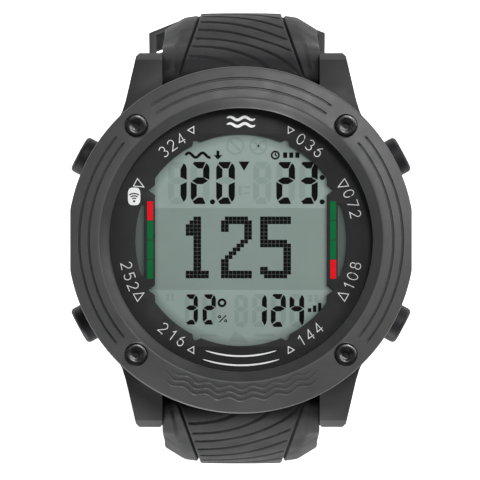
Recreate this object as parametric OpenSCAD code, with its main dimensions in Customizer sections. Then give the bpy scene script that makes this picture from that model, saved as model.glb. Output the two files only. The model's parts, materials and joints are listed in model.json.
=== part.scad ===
// Wrist dive computer with four radial push buttons and a moulded rubber strap.
// Millimetres. The origin is the centre of the case back's flat face, +Z runs out through the
// dial and +Y points to 12 o'clock, so 3 o'clock is +X. The strap halves curl down, unbuckled.

/* [Case] */
// Radius of the bezel ring
bezel_r = 25; // [24.5:0.1:25.2]
// Radius of the middle case
case_r = 25.35; // [25.3:0.05:25.6]
// Height of the bezel's flat top above the case back
bezel_top = 15.4; // [15.2:0.1:16]
// Half the gap between the lugs of a pair
lug_gap_half = 11.6; // [11.5:0.1:11.8]
// Distance of the lug tips from the centre
lug_reach = 27.7; // [27.4:0.1:28]

/* [Display] */
// Radius of the round LCD window
window_r = 15.65; // [15:0.05:15.8]
// Half width at which the window's sides are cut straight
window_half = 12.7; // [12:0.1:13]

/* [Buttons] */
// Angle of each button above or below the 3 and 9 o'clock line
button_angle = 28.2; // [26:0.1:30]
// Radius of a button's cap
button_r = 2.8; // [2.4:0.1:2.9]
// Distance of the cap's outer face from the centre
button_reach = 27.2; // [27:0.1:27.6]
// How far a button travels
button_travel = 1; // [0.6:0.1:1]

/* [Strap] */
// Half the width of the strap
strap_half = 11.3; // [11:0.1:11.3]
// Thickness of the strap
strap_t = 4; // [3.6:0.1:4]
// Distance of the strap's bulge from the centre
strap_bulge = 33.1; // [32.4:0.1:33.2]
// Radius of the first bend, from the spring bar to the bulge
bend_r = 28; // [27:0.5:29]
// Radius of the short half below the bulge
short_r = 100; // [95:1:105]
// Angle of the short half below the bulge
short_angle = 26.5; // [26:0.5:26.5]
// Number of adjustment holes in the long half
hole_count = 7; // [5:1:7]

/* [Battery] */
// Radius of the coin cell
cell_r = 12.25; // [12:0.05:12.25]
// How far the battery sits towards 6 o'clock
cell_offset = 3; // [2.5:0.1:3.2]

/* [Hidden] */
$fn = 64;

// Heights of the stack, from the case back's outer face up
back_rim = 0.4;          // lowest edge of the case around the case back
back_t = 1.6;            // case back plate
spigot_top = 2.4;        // top of the case back's spigot
case_top = 11.2;         // joint between case and bezel
gasket_t = 0.4;
mask_t = 0.2;
lens_bottom = case_top + gasket_t + mask_t;
lens_t = 2.4;
lens_top = lens_bottom + lens_t;
lcd_top = 11.3;
lcd_t = 1.1;
board_bottom = 7.7;
board_t = 0.8;
board_top = board_bottom + board_t;
backlight_t = 0.55;
backlight_bottom = lcd_top - lcd_t - backlight_t - 0.05;
holder_bottom = board_top + 0.1;
holder_floor = 0.95;     // thickness of the holder under the backlight
button_z = 5.6;          // height of the button axes
lug_top = 9.2;

// Radii of the stack
cavity_r = 18.6;
back_r = 21;
spigot_r = 18.5;
lens_r = 20.2;
lip_r = 19.4;            // inner edge of the bezel
slope_r = 20.85;         // outer edge of the bezel's inner slope
module_r = 18.1;         // board and display holder
gasket_inner_r = 18.9;
flat_half = 25.05;       // the case is cut flat at 3 and 9 o'clock
fit = 0.05;              // radial clearance of running fits
gap = 0.02;              // clearance of parts that sit in each other without moving

// Display: the panel and its backlight are discs cut square, the mask's window has slots beside it
lcd_r = 17;
lcd_size = [31.6, 33.4];
backlight_r = 16.6;
backlight_size = [31, 26.6];
connector_y = 14.6;      // rubber strips between the board and the LCD
connector_half = 8;
notch_spot = [7.1, 14.8];
slot_x = 14.6;
slot_half = 5.5;

// Screws of the bezel and of the case back
screw_spot = [15.45, 16.85];
screw_head_r = 1.62;
screw_pocket_r = 1.7;
screw_head_t = 1.5;
screw_sunk = 0.18;       // from the bezel's top down to the screw heads
screw_r = 0.75;
screw_from = 7.3;
hex_r = 0.9;
back_screw_ring = 19.6;
back_screw_r = 0.55;
back_head_r = 1.05;

// Fine grooves in the bezel's top: radii, then middle and half span of each arc from 3 o'clock
groove_radii = [22.4, 23.8];
groove_arcs = [[90, 34], [0, 40], [180, 40]];
groove_half = 0.12;
groove_depth = 0.25;

// Battery compartment and the parts in the case back
cap_r = 13.6;
cap_t = 1.7;
tab_r = 14.4;            // bayonet tabs of the battery cap
tab_t = 0.38;
tab_angle = 22;
cell_t = 5;
cell_bottom = cap_t + 0.05;
sensor_y = 14.6;
contact_spot = [6.5, 13.6];
contact_r = 0.9;

// Buttons: distances from the centre along the button's axis
button_seat = 23.4;      // inner face of the cap
pocket_floor = button_seat - button_travel - 0.8;
stem_r = 1.1;
stem_end = 16.9;
clip_spot = 18.15;
clip_t = 0.35;
clip_groove_r = 0.7;
sleeve_r = 1.7;
sleeve_end = 18.75;
seal_spot = 20.2;
seal_groove_r = 0.75;
seal_groove_t = 0.5;
spring_r = 1.6;          // inner radius of the return spring
spring_wire = [0.35, 0.3];

// Strap geometry in the plane of its curl (Y outwards, Z up)
bar_y = 25;
bar_z = 4.4;
bar_r = 0.9;
bar_end_r = 0.6;         // pins of the spring bars
bar_end = 13;
barrel_r = 2.4;
bulge_y = strap_bulge - strap_t / 2;
bulge_z = bar_z - sqrt(pow(bend_r, 2) - pow(bar_y - bulge_y + bend_r, 2));
bend_angle = asin((bar_z - bulge_z) / bend_r);
long_r = 120;
long_angle = 22.4;
curl_r = 22;
curl_y = bulge_y - long_r + (long_r - curl_r) * cos(long_angle);
curl_z = bulge_z - (long_r - curl_r) * sin(long_angle);
tail = 4.5;
tip_w = 6;               // how much of the half width the round tip takes in
hole_pitch = 6;
first_hole = 20;         // along the long half, from the bulge
hole_r = 1.3;

// Keepers: places as angles on the short half's arc
keeper_from = 16.9;
keeper_span = 4.2;
keeper_shift = 0.6;      // the loose one sits a little to the 9 o'clock side
loose_room = 0.8;        // between the strap's edge and the loose keeper
fixed_room = 0.3;
keeper_wall = 1.1;
fixed_from = 22.1;
fixed_span = 3.3;

// Buckle, in the frame of the short half's end (Y outwards, -Z along the strap)
pin_drop = 3.2;
pin_r = 0.75;
eye_r = 2;
frame_half = 13.2;
frame_inner = 11.75;
frame_end = 15.4;
frame_t = 2.4;
end_bar = 2.6;
tongue_w = 2.4;
tongue_eye_r = 1.5;
tongue_slot = 3.4;       // width of the slot for the tongue in the short half's end

// Turns a shape drawn in (radius, width) into one swept about an axis along X at height 0
module sweep(y, from, span) {
    translate([0, y, 0]) rotate([90, 0, 90]) rotate([0, 0, from])
        rotate_extrude(angle = span, $fn = 180) children();
}

// Places a child at the lower end of a stretch that starts at the origin, runs down and bends
// inwards, in line with the stretch
module after_stretch(r, angle) {
    translate([0, r * cos(angle) - r, -r * sin(angle)]) rotate([-angle, 0, 0]) children();
}

// Places a child at the strap's bulge, where both halves run straight down
module at_bulge() {
    translate([0, bulge_y, bulge_z]) children();
}

module at_short_end() {
    at_bulge() after_stretch(short_r, short_angle) children();
}

// Stations along an arc in side view: place of the band's middle, its outward direction, half width
function arc(y, z, r, from, to, steps) = [for (i = [0:steps])
    let (a = from + (to - from) * i / steps) [y + r * cos(a), z + r * sin(a), a, strap_half]];

// Section across the band at a half width, chamfered on the outer side: [width, height] points
function section(w) = let (h = strap_t / 2)
    [[0.5 - w, -h], [-w, 0.5 - h], [-w, h - 2.4], [-0.71 * w, h - 0.5], [-0.5 * w, h],
    [0.5 * w, h], [0.71 * w, h - 0.5], [w, h - 2.4], [w, 0.5 - h], [w - 0.5, -h]];

// Solid band through a list of stations
module band(stations) {
    n = len(section(strap_half));
    last = len(stations) - 1;
    points = [for (s = stations, p = section(s[3]))
        [p[0], s[0] + p[1] * cos(s[2]), s[1] + p[1] * sin(s[2])]];
    sides = [for (i = [0:last - 1], j = [0:n - 1]) let (k = (j + 1) % n)
        [i * n + k, i * n + j, (i + 1) * n + j, (i + 1) * n + k]];
    ends = [[for (j = [0:n - 1]) j], [for (j = [n - 1:-1:0]) last * n + j]];
    polyhedron(points, concat(sides, ends), convexity = 4);
}

function bend_stations() = arc(bulge_y - bend_r, bulge_z, bend_r, bend_angle, 0, 12);
function tail_stations() = [for (i = [1:8]) let (a = 90 * i / 8)
    [curl_y - tail * sin(a), curl_z - curl_r, -90, strap_half - tip_w * (1 - cos(a))]];

// Rubber loop around the strap with room for the second strap half outside it
module keeper_section(r, shift, room) {
    inner = strap_t / 2 + 0.2;
    outer = strap_t / 2 + 4.1;
    w = strap_half + room;
    translate([r, -shift]) difference() {
        polygon([[-inner - keeper_wall, -w + 1], [-inner - keeper_wall, w - 1],
            [-inner - 0.4, w + keeper_wall - 0.1], [outer - 1.6, w + keeper_wall],
            [outer + keeper_wall - 0.3, 7.5], [outer + keeper_wall, 5], [outer + keeper_wall, -5],
            [outer + keeper_wall - 0.3, -7.5], [outer - 1.6, -w - keeper_wall],
            [-inner - 0.4, -w - keeper_wall + 0.1]]);
        polygon([[-inner, -w], [-inner, w], [outer - 2, w], [outer, 7.2], [outer, -7.2],
            [outer - 2, -w]]);
    }
}

// Disc of radius r cut down to a rectangle
module cut_disc(r, size) {
    intersection() {
        circle(r = r, $fn = 180);
        square(size, center = true);
    }
}

module at_bezel_screws() {
    for (x = [-1, 1], y = [-1, 1]) translate([x * screw_spot[0], y * screw_spot[1], 0]) children();
}

module at_back_screws() {
    for (turn = [45:90:315]) rotate([0, 0, turn]) translate([back_screw_ring, 0, 0]) children();
}

module at_water_contacts() {
    for (x = [-1, 1]) translate([x * contact_spot[0], contact_spot[1], 0]) children();
}

// Places a child on the axis of the battery, turned about it
module rotate_about_cell(turn) {
    translate([0, -cell_offset, 0]) rotate([0, 0, turn]) children();
}

// Places a child drawn along +Z, from the centre outwards, on one button's axis
module on_button_axis(angle) {
    rotate([0, 0, angle]) translate([0, 0, button_z]) rotate([0, 90, 0]) children();
}

module round_bar(r, from, to) {
    translate([from, 0, 0]) rotate([0, 90, 0]) cylinder(r = r, h = to - from);
}

// Angles of the four buttons, counted from 3 o'clock
function button_turns() = [button_angle, 180 - button_angle, 180 + button_angle, -button_angle];

// Plan of one lug, from the inner side out along its tip and back beside the case
module lug_outline() {
    polygon([[lug_gap_half, 14], [lug_gap_half, lug_reach - 0.4], [lug_gap_half + 0.4, lug_reach],
        [14.9, lug_reach], [15.5, lug_reach - 0.6], [16.4, 23.2], [17.0, 20.6], [17.5, 19.0],
        [18.2, 17.6], [16, 14]]);
}

// Side view of a lug: it drops towards its tip
module lug_side() {
    polygon([[13, 1], [22, 1], [26.4, 1.6], [27.6, 2.8], [27.6, 5.8], [26.6, 7.2], [24.4, 8.2],
        [21, 8.9], [13, lug_top]]);
}

module lug() {
    intersection() {
        translate([0, 0, 0.5]) linear_extrude(lug_top) lug_outline();
        rotate([90, 0, 90]) linear_extrude(30) lug_side();
    }
}

module case_body() {
    color("#3c3c3f") difference() {
        union() {
            intersection() {
                rotate_extrude($fn = 180) polygon([[cavity_r - 1, back_rim], [23.2, back_rim],
                    [24.6, 1.6], [case_r, 3.4], [case_r, case_top - 0.3],
                    [case_r - 0.3, case_top], [cavity_r - 1, case_top]]);
                cube([2 * flat_half, 60, 60], center = true);
            }
            for (x = [0, 1], y = [0, 1]) mirror([x, 0, 0]) mirror([0, y, 0]) lug();
        }
        // module cavity and the recess of the case back
        translate([0, 0, -1]) cylinder(r = cavity_r, h = case_top + 2);
        translate([0, 0, -1]) cylinder(r = back_r + 0.1, h = back_t + 1);
        // room for the strap's ends between the lugs
        for (side = [0, 1]) mirror([0, side, 0]) {
            translate([-lug_gap_half, 22.2, -1]) cube([2 * lug_gap_half, 8, 8.2]);
            translate([0, bar_y, bar_z])
                round_bar(bar_end_r + gap, -bar_end - 0.2, bar_end + 0.2);
        }
        for (turn = button_turns()) on_button_axis(turn) {
            translate([0, 0, pocket_floor]) cylinder(r = button_r + fit, h = 8);
            translate([0, 0, 10]) cylinder(r = sleeve_r + gap, h = 15);
        }
        at_bezel_screws() translate([0, 0, 7]) cylinder(r = screw_r + fit, h = 6);
        at_back_screws() cylinder(r = back_screw_r + fit, h = 5);
    }
}

// Thin arc cut into the bezel's top, centred on a clock angle from 3 o'clock
module bezel_groove(r, middle, half_span) {
    rotate([0, 0, middle - half_span]) rotate_extrude(angle = 2 * half_span, $fn = 180)
        translate([r - groove_half, bezel_top - groove_depth]) square([2 * groove_half, 1]);
}

module bezel_ring() {
    color("#4a4a4c") difference() {
        rotate_extrude($fn = 180) polygon([[lens_r + 0.1, case_top], [bezel_r - 0.15, case_top],
            [bezel_r, case_top + 0.2], [bezel_r, bezel_top - 0.9], [bezel_r - 0.25, bezel_top - 0.3],
            [bezel_r - 0.8, bezel_top], [slope_r, bezel_top], [lip_r, lens_top + 0.3],
            [lip_r, lens_top + 0.1], [lens_r + 0.1, lens_top + 0.1]]);
        at_bezel_screws() {
            translate([0, 0, bezel_top - screw_head_t - screw_sunk - gap])
                cylinder(r = screw_pocket_r, h = 4);
            cylinder(r = screw_r + 0.1, h = 20);
        }
        for (r = groove_radii, arc = groove_arcs) bezel_groove(r, arc[0], arc[1]);
    }
}

module bezel_screws() {
    color("#1c1c1e") at_bezel_screws() difference() {
        union() {
            translate([0, 0, bezel_top - screw_head_t - screw_sunk])
                cylinder(r = screw_head_r, h = screw_head_t);
            translate([0, 0, screw_from]) cylinder(r = screw_r, h = 7);
        }
        translate([0, 0, bezel_top - 1.2]) cylinder(r = hex_r, h = 2, $fn = 6);
    }
}

module lens() {
    color("#c8d2d2", 0.3) translate([0, 0, lens_bottom]) rotate_extrude($fn = 180)
        polygon([[0, 0], [lens_r, 0], [lens_r, lens_t - 0.3], [lens_r - 0.3, lens_t],
            [0, lens_t]]);
}

module lens_gasket() {
    color("#202020") translate([0, 0, case_top]) difference() {
        cylinder(r = lens_r, h = gasket_t);
        translate([0, 0, -1]) cylinder(r = gasket_inner_r, h = 3);
    }
}

// LCD window: a circle with straight sides, two pairs of edge notches and slots for the bar graphs
module window_outline() {
    cut_disc(window_r, [2 * window_half, 40]);
    for (x = [0, 1], y = [0, 1]) mirror([x, 0]) mirror([0, y]) translate(notch_spot)
        rotate(atan2(notch_spot[1], notch_spot[0])) translate([-1, -0.75]) square([1.7, 1.5]);
    for (x = [-1, 1]) translate([x * slot_x - 0.5, -slot_half]) square([1, 2 * slot_half]);
}

module dial_mask() {
    color("#1a1b1b") translate([0, 0, lens_bottom - mask_t]) linear_extrude(mask_t) difference() {
        circle(r = lens_r - 0.2, $fn = 180);
        window_outline();
    }
}

module lcd_panel() {
    color("#8e9e96") translate([0, 0, lcd_top - lcd_t]) linear_extrude(lcd_t)
        cut_disc(lcd_r, lcd_size);
}

module backlight_plate() {
    color("#e8ece8") translate([0, 0, backlight_bottom]) linear_extrude(backlight_t)
        cut_disc(backlight_r, backlight_size);
}

module lcd_holder() {
    color("#d8d8d4") translate([0, 0, holder_bottom]) difference() {
        cylinder(r = module_r, h = case_top - holder_bottom);
        translate([0, 0, holder_floor]) linear_extrude(3) cut_disc(lcd_r + 0.1, lcd_size + [0.2, 0.2]);
        for (y = [-1, 1]) translate([-connector_half - 0.3, y * connector_y - 1.1, -1])
            cube([2 * connector_half + 0.6, 2.2, 4]);
    }
}

module connector_strips() {
    color("#3a2f3f") for (y = [-1, 1])
        translate([-connector_half, y * connector_y - 0.9, board_top])
            cube([2 * connector_half, 1.8, lcd_top - lcd_t - board_top]);
}

module main_board() {
    color("#1f5a3a") translate([0, 0, board_bottom]) difference() {
        cylinder(r = module_r, h = board_t);
        for (turn = [0:120:240]) rotate([0, 0, turn + 90]) translate([module_r - 0.3, 0, -1])
            cylinder(r = 0.9, h = 3);
    }
}

// Chips on the underside of the board, beside the cell
module board_chips() {
    color("#242426") {
        translate([-6, 10.3, board_bottom - 1.2]) cube([5.2, 4, 1.2]);
        translate([1.2, 10.3, board_bottom - 0.9]) cube([3.4, 3.4, 0.9]);
        translate([6.4, 9.4, board_bottom - 1.6]) cube([3.2, 1.6, 1.6]);
    }
}

module receiver_coil() {
    color("#7a4a26") translate([-11.2, 9.2, board_bottom - 2.4]) rotate([0, 0, 40]) difference() {
        cube([6, 2.2, 2.4], center = false);
        translate([1, -0.1, -0.1]) cube([4, 0.4, 2.6]);
        translate([1, 1.9, -0.1]) cube([4, 0.4, 2.6]);
    }
}

module switch_contacts() {
    color("#c8a24a") for (turn = button_turns()) rotate([0, 0, turn]) translate([15, 0, 0]) {
        translate([0, -1.2, button_z - 1]) cube([0.25, 2.4, board_bottom - button_z + 1]);
        translate([-0.9, -1.2, board_bottom - 0.25]) cube([1, 2.4, 0.25]);
    }
}

module pressure_sensor() {
    color("#b8bcc0") translate([0, sensor_y, spigot_top + 0.4]) {
        cylinder(r = 3, h = 1.2);
        translate([0, 0, 1.2]) cylinder(r = 2.4, h = 1.6);
    }
}

module sensor_seal() {
    color("#181818") translate([0, sensor_y, spigot_top]) difference() {
        cylinder(r = 2.9, h = 0.4);
        translate([0, 0, -1]) cylinder(r = 2, h = 3);
    }
}

module sounder_disc() {
    color("#c9a227") translate([12.6, 7.2, spigot_top]) {
        cylinder(r = 3.6, h = 0.2);
        translate([0, 0, 0.2]) cylinder(r = 2.6, h = 0.2);
    }
}

module coin_cell() {
    color("#c6c9cc") rotate_about_cell(0) translate([0, 0, cell_bottom]) rotate_extrude($fn = 180)
        polygon([[0, 0], [cell_r - 0.4, 0], [cell_r, 0.4], [cell_r, cell_t - 0.8],
            [cell_r - 1.65, cell_t - 0.4], [cell_r - 1.65, cell_t], [0, cell_t]]);
}

// Leaf on the cell's upper pole and a blade along its side
module cell_contacts() {
    cell_top = cell_bottom + cell_t;
    leaf_t = 0.2;
    blade_from = 3.2;
    color("#b9bcc0") rotate_about_cell(0) {
        translate([-1.5, -4, cell_top]) cube([3, 8, leaf_t]);
        translate([-1.5, -4, cell_top + leaf_t]) cube([3, 1, board_bottom - cell_top - leaf_t]);
        translate([-1.5, -cell_r - 0.3, blade_from]) cube([3, 0.25, board_bottom - blade_from]);
    }
}

module case_back() {
    color("#9a9c9f") difference() {
        union() {
            cylinder(r = back_r, h = back_t);
            cylinder(r = spigot_r, h = spigot_top);
        }
        // groove of the O-ring around the spigot
        translate([0, 0, back_t]) difference() {
            cylinder(r = spigot_r + 1, h = 0.5);
            translate([0, 0, -1]) cylinder(r = spigot_r - 0.6, h = 3);
        }
        // battery port: bore, undercut for the bayonet tabs and their three entry notches
        rotate_about_cell(0) translate([0, 0, -1]) cylinder(r = cap_r + fit, h = 5);
        rotate_about_cell(0) translate([0, 0, back_t - gap]) cylinder(r = tab_r + 0.1, h = 2);
        for (turn = [0:120:240]) rotate_about_cell(turn + 60) rotate_extrude(angle = tab_angle + 2)
            translate([13, -1]) square([tab_r + 0.03 - 13, 4]);
        at_back_screws() translate([0, 0, -1]) {
            cylinder(r = back_screw_r + 0.1, h = 5);
            cylinder(r = back_head_r + 0.1, h = 1.9);
        }
        // pressure port holes and bores of the water contacts
        for (x = [-1.3, 0, 1.3]) translate([x, sensor_y, -1]) cylinder(r = 0.4, h = 5);
        at_water_contacts() translate([0, 0, -1]) cylinder(r = contact_r + gap, h = 5);
    }
}

module case_back_seal() {
    color("#151515") translate([0, 0, back_t + 0.25]) rotate_extrude($fn = 180)
        translate([spigot_r - 0.32, 0]) circle(r = 0.24, $fn = 32);
}

module case_back_screws() {
    color("#2a2a2c") at_back_screws() difference() {
        union() {
            translate([0, 0, 0.05]) cylinder(r = back_head_r, h = 0.85);
            cylinder(r = back_screw_r, h = 4.6);
        }
        translate([0, 0, -1]) cylinder(r = 0.5, h = 1.5, $fn = 6);
    }
}

module battery_cap() {
    color("#55565a") difference() {
        union() {
            rotate_about_cell(0) cylinder(r = cap_r, h = cap_t);
            for (turn = [0:120:240]) rotate_about_cell(turn) rotate_extrude(angle = tab_angle)
                translate([13, back_t + gap]) square([tab_r - 13, tab_t]);
        }
        // coin slot and O-ring groove
        translate([-9, -cell_offset - 1, -1]) cube([18, 2, 1.8]);
        rotate_about_cell(0) translate([0, 0, 0.45]) difference() {
            cylinder(r = 15, h = 0.6);
            translate([0, 0, -1]) cylinder(r = cap_r - 0.6, h = 3);
        }
    }
}

module battery_cap_seal() {
    color("#151515") rotate_about_cell(0) translate([0, 0, 0.75]) rotate_extrude($fn = 180)
        translate([cap_r - 0.26, 0]) circle(r = 0.27, $fn = 32);
}

module water_contacts() {
    color("#cfd2d6") at_water_contacts() {
        cylinder(r = contact_r, h = spigot_top);
        translate([0, 0, spigot_top]) cylinder(r = contact_r + 0.4, h = 0.5);
    }
}

module button_sleeves() {
    color("#a9acb0") for (turn = button_turns()) on_button_axis(turn)
        translate([0, 0, sleeve_end]) difference() {
            cylinder(r = sleeve_r, h = pocket_floor - sleeve_end);
            translate([0, 0, -1]) cylinder(r = stem_r + fit, h = 6);
        }
}

// A button: round cap with a stem that has a groove for its O-ring and one for its clip
module button(angle) {
    color("#303134") on_button_axis(angle) difference() {
        rotate_extrude() polygon([[0, stem_end], [stem_r, stem_end], [stem_r, button_seat],
            [button_r, button_seat], [button_r, button_reach - 0.6],
            [button_r - 0.2, button_reach - 0.2], [button_r - 0.7, button_reach],
            [0, button_reach]]);
        translate([0, 0, seal_spot]) difference() {
            cylinder(r = 3, h = seal_groove_t);
            translate([0, 0, -1]) cylinder(r = seal_groove_r, h = 3);
        }
        translate([0, 0, clip_spot]) difference() {
            cylinder(r = 3, h = clip_t + 0.1);
            translate([0, 0, -1]) cylinder(r = clip_groove_r, h = 3);
        }
    }
}

// Return spring between the cap and the pocket's floor, as a slotted stack of rings
module button_spring(angle) {
    height = button_seat - pocket_floor - 0.24;
    color("#b5b8bc") on_button_axis(angle) translate([0, 0, pocket_floor + 0.1]) difference() {
        rotate_extrude() union() {
            for (turn = [0:3]) translate([spring_r, turn * (height - spring_wire[1]) / 3])
                square(spring_wire);
            translate([spring_r, 0]) square([0.12, height]);
        }
        translate([1.3, -0.6, -1]) cube([2, 1.2, 5]);
    }
}

module button_seal(angle) {
    color("#181818") on_button_axis(angle) translate([0, 0, seal_spot + seal_groove_t / 2])
        rotate_extrude() translate([seal_groove_r + 0.2, 0]) circle(r = 0.17, $fn = 24);
}

module button_clip(angle) {
    color("#8f9296") on_button_axis(angle) translate([0, 0, clip_spot + 0.05])
        linear_extrude(clip_t - 0.1) difference() {
            circle(r = 1.9);
            circle(r = clip_groove_r + gap);
            translate([0, -0.5]) square([3, 1]);
        }
}

module spring_bar() {
    color("#a8abaf") translate([0, bar_y, bar_z]) {
        round_bar(bar_r, -strap_half + 0.1, strap_half - 0.1);
        round_bar(bar_end_r, -bar_end, bar_end);
    }
}

module strap_short() {
    color("#333336") difference() {
        union() {
            band(concat(bend_stations(),
                arc(bulge_y - short_r, bulge_z, short_r, -2, -short_angle, 12)));
            translate([0, bar_y, bar_z]) round_bar(barrel_r, -strap_half, strap_half);
            at_short_end() translate([0, 0, -pin_drop]) {
                round_bar(eye_r, -strap_half, strap_half);
                translate([0.3 - strap_half, -eye_r + 0.1, 0])
                    cube([2 * strap_half - 0.6, 1.7, pin_drop + 1]);
            }
        }
        translate([0, bar_y, bar_z]) round_bar(bar_r + fit, -20, 20);
        at_short_end() translate([0, 0, -pin_drop]) {
            round_bar(pin_r + fit, -20, 20);
            translate([-tongue_slot / 2, -5, -5]) cube([tongue_slot, 10, 8.4]);
        }
    }
}

// Long half: first bend, a slack stretch with the adjustment holes, and the curled tail
module strap_long() {
    color("#333336") mirror([0, 1, 0]) difference() {
        union() {
            band(concat(bend_stations(),
                arc(bulge_y - long_r, bulge_z, long_r, -2, -long_angle, 12),
                arc(curl_y, curl_z, curl_r, -long_angle - 5, -90, 16), tail_stations()));
            translate([0, bar_y, bar_z]) round_bar(barrel_r, -strap_half, strap_half);
        }
        translate([0, bar_y, bar_z]) round_bar(bar_r + fit, -20, 20);
        for (i = [0:hole_count - 1]) adjustment_hole(first_hole + hole_pitch * i);
    }
}

// A hole through the long half at a distance below the bulge
module adjustment_hole(along) {
    slack = long_r * long_angle * PI / 180;
    at_bulge() {
        if (along < slack) after_stretch(long_r, along / long_r * 180 / PI) hole_cutter();
        else after_stretch(long_r, long_angle)
            after_stretch(curl_r, (along - slack) / curl_r * 180 / PI) hole_cutter();
    }
}

module hole_cutter() {
    rotate([90, 0, 0]) cylinder(r = hole_r, h = 8, center = true);
}

module keeper_loose() {
    color("#37373a") at_bulge() sweep(-short_r, -keeper_from - keeper_span, keeper_span)
        keeper_section(short_r, keeper_shift, loose_room);
}

module keeper_fixed() {
    color("#37373a") at_bulge() sweep(-short_r, -fixed_from - fixed_span, fixed_span)
        keeper_section(short_r, 0, fixed_room);
}

module buckle_frame() {
    color("#8b8d90") at_short_end() translate([0, 0, -pin_drop]) difference() {
        rotate([90, 0, 0]) linear_extrude(frame_t, center = true) difference() {
            union() {
                translate([-frame_half, -frame_end + 4]) square([2 * frame_half, frame_end - 4]);
                translate([-frame_half + 4, -frame_end]) square([2 * frame_half - 8, 8]);
                for (x = [-1, 1]) {
                    translate([x * (frame_half - 4), -frame_end + 4]) circle(r = 4);
                    translate([x * (frame_half + frame_inner) / 2, 0])
                        circle(r = (frame_half - frame_inner) / 2, $fn = 32);
                }
            }
            translate([-frame_inner, -frame_end + end_bar])
                square([2 * frame_inner, frame_end + 3]);
        }
        round_bar(pin_r + gap, -20, 20);
    }
}

module buckle_bar() {
    color("#a8abaf") at_short_end() translate([0, 0, -pin_drop])
        round_bar(pin_r, -frame_half + 0.1, frame_half - 0.1);
}

// Tongue: an eye on the buckle bar and a prong that rests on the frame's far bar
module buckle_tongue() {
    color("#8b8d90") at_short_end() translate([0, 0, -pin_drop]) difference() {
        union() {
            round_bar(tongue_eye_r, -tongue_w / 2, tongue_w / 2);
            rotate([90, 0, 90]) linear_extrude(tongue_w, center = true)
                polygon([[-0.4, 0], [tongue_eye_r, 0], [frame_t / 2 + 1.4, -frame_end + 3.4],
                    [frame_t / 2 + 1.3, -frame_end + 1], [frame_t / 2 + 0.7, -frame_end + 0.3],
                    [frame_t / 2 + 0.05, -frame_end + 0.3], [frame_t / 2 + 0.05, -frame_end + 3.2],
                    [0, -2.4]]);
        }
        round_bar(pin_r + fit, -5, 5);
    }
}

case_body();
bezel_ring();
bezel_screws();
lens();
lens_gasket();
dial_mask();
lcd_panel();
backlight_plate();
lcd_holder();
connector_strips();
main_board();
board_chips();
receiver_coil();
switch_contacts();
pressure_sensor();
sensor_seal();
sounder_disc();
coin_cell();
cell_contacts();
case_back();
case_back_seal();
case_back_screws();
battery_cap();
battery_cap_seal();
water_contacts();
button_sleeves();
button(button_angle);  // button_2
button(-button_angle);  // button_4
button(180 + button_angle);  // button_8
button(180 - button_angle);  // button_10
button_spring(button_angle);  // spring_2
button_spring(-button_angle);  // spring_4
button_spring(180 + button_angle);  // spring_8
button_spring(180 - button_angle);  // spring_10
button_seal(button_angle);  // seal_2
button_seal(-button_angle);  // seal_4
button_seal(180 + button_angle);  // seal_8
button_seal(180 - button_angle);  // seal_10
button_clip(button_angle);  // clip_2
button_clip(-button_angle);  // clip_4
button_clip(180 + button_angle);  // clip_8
button_clip(180 - button_angle);  // clip_10
spring_bar();  // spring_bar_12
mirror([0, 1, 0]) spring_bar();  // spring_bar_6
strap_short();
strap_long();
keeper_loose();
keeper_fixed();
buckle_frame();
buckle_tongue();
buckle_bar();
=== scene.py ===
"""Looks of a round wrist dive computer: LCD under glass, soft-touch bezel, four buttons, rubber strap.

Lengths are written in millimetres and turned into metres where a mesh is made. The frame gives the
places: +Z runs out through the dial, +Y points to 12 o'clock and the strap halves curl down.
"""

import json
import math

import bmesh
import bpy
from mathutils import Matrix, Vector


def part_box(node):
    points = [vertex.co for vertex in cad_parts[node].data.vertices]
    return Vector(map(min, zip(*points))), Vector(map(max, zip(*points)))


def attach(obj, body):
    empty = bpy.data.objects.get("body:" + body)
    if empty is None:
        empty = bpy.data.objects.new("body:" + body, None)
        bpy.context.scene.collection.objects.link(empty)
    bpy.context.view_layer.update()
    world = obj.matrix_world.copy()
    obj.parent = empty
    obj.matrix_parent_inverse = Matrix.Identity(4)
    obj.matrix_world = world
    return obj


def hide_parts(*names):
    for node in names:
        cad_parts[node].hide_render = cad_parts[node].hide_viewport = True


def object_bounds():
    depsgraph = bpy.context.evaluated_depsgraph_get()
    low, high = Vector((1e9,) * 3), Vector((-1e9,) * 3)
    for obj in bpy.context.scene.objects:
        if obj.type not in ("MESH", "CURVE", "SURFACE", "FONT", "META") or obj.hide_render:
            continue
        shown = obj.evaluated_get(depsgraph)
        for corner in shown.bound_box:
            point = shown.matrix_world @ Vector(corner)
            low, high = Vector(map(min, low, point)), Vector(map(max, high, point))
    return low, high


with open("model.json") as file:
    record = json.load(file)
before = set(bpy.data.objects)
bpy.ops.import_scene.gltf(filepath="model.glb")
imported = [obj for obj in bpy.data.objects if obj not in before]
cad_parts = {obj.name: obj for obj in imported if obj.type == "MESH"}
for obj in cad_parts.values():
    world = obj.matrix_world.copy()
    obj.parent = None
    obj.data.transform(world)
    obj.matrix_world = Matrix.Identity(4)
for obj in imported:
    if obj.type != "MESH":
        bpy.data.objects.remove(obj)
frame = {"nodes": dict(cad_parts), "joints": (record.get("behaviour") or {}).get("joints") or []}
CAD_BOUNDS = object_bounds()

MM = 0.001


def low(node):
    """Lowest corner of a CAD node, in millimetres."""
    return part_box(node)[0] / MM


def high(node):
    """Highest corner of a CAD node, in millimetres."""
    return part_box(node)[1] / MM


def joint_spot(name):
    """Where a joint's axis passes, in millimetres."""
    joint = next(j for j in frame["joints"] if j["name"] == name)
    return Vector(joint["pos_m"]) / MM


# ---- materials


def add(nodes, kind, values=None, operation=None):
    """New shader node with some of its inputs set."""
    node = nodes.new("ShaderNode" + kind)
    if operation:
        node.operation = operation
    for name, value in (values or {}).items():
        node.inputs[name].default_value = value
    return node


WORN_EDGE = (0.56, 0.62)         # pointiness where wear starts and where it is full


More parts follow.
